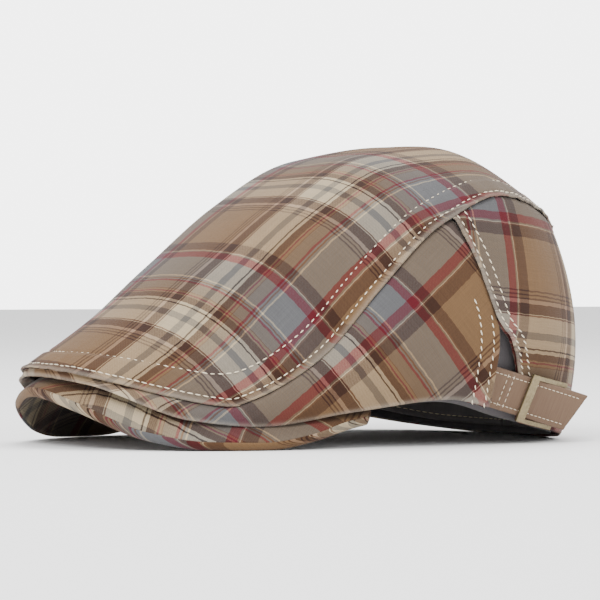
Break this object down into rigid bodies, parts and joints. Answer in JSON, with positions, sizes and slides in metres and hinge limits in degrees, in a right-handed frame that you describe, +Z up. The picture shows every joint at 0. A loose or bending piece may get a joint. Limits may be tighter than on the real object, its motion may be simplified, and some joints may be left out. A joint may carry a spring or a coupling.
{
  "type": "newsboy cap",
  "caption": "Soft plaid duckbill cap: long crown panel, side and back panels, sewn-on visor, lined inside, rear notch with strap and buckle.",
  "frame": {"origin": "on the surface the cap lies on, under the middle of its box", "axes": "-Y towards the front of the visor, +X towards the wearer's left, +Z up"},
  "size_m": [0.1986, 0.2686, 0.1371],
  "materials": {
    "plaid_shell": "woven cotton plaid in tan, grey, cream, brown and crimson, matt with a soft sheen",
    "plaid_facing": "the same woven cotton plaid, turned inside",
    "strap_plaid": "woven cotton plaid, mostly tan, folded and stitched",
    "lining_cloth": "plain grey polyester twill lining",
    "interlining": "off-white fusible interlining",
    "sweatband_cloth": "grey cotton twill tape, folded",
    "label_cloth": "blank woven satin label",
    "visor_board": "stiff sheet polyethylene board",
    "loop_tape": "dark brown cotton tape",
    "antique_brass": "cast metal with an antique brass finish, worn on its edges"
  },
  "bodies": {
    "cap": {"crown_top_panel": "plaid_shell", "crown_interlining": "interlining", "side_panel_left": "plaid_shell", "side_panel_right": "plaid_shell", "back_panel": "plaid_shell", "notch_facing_front": "plaid_facing", "notch_facing_rear": "plaid_facing", "lining_top": "lining_cloth", "lining_side_left": "lining_cloth", "lining_side_right": "lining_cloth", "lining_back": "lining_cloth", "sweatband": "sweatband_cloth", "size_label": "label_cloth", "visor_board": "visor_board", "visor_upper_cover": "plaid_shell", "visor_under_cover": "plaid_shell", "visor_rim_seam": "plaid_shell", "buckle_loop": "loop_tape"},
    "strap": {"adjuster_strap": "strap_plaid"},
    "buckle": {"buckle_frame": "antique_brass"}
  },
  "joints": [
    {"name": "strap_slide", "type": "slide", "parent": "cap", "child": "strap", "axis": [-0.0805, 0.9626, -0.2589], "range_m": [-0.003, 0.0025]},
    {"name": "buckle_tilt", "type": "hinge", "parent": "cap", "child": "buckle", "pos_m": [0.08399, 0.08977, 0.0162], "axis": [0.2539, 0.2709, 0.9285], "range_deg": [0, 30]}
  ]
}
